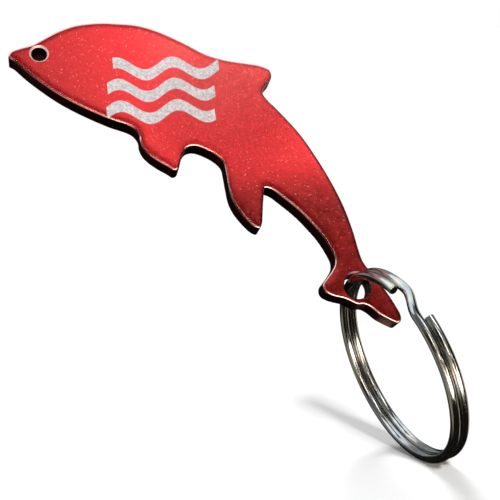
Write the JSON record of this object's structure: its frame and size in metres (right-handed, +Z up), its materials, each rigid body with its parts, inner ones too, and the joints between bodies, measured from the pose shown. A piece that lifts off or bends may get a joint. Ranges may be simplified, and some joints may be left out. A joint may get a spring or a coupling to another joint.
{
  "type": "souvenir bottle opener",
  "caption": "Leaping-dolphin bottle opener stamped from anodised aluminium plate, on a steel split key ring that swings in its tail hole.",
  "frame": {"origin": "on the flat back of the plate, in the middle of the fish, 14 mm left of the tail hole and 42 mm above it", "axes": "+Z up, along the length from the ring to the crown of the head; +Y out of the flat back of the plate; +X from the nose towards the dorsal fin"},
  "size_m": [0.0421, 0.032, 0.0897],
  "materials": {
    "anodised_plate": "fine blasted, dyed red and anodised",
    "plated_wire": "polished nickel plate"
  },
  "bodies": {
    "opener": {"opener_body": "anodised_plate"},
    "ring": {"split_ring": "plated_wire"}
  },
  "joints": [
    {"name": "ring_swing", "type": "hinge", "parent": "opener", "child": "ring", "pos_m": [0.014, -0.00175, -0.042], "axis": [0, 1, 0], "range_deg": [-170, 150]}
  ]
}
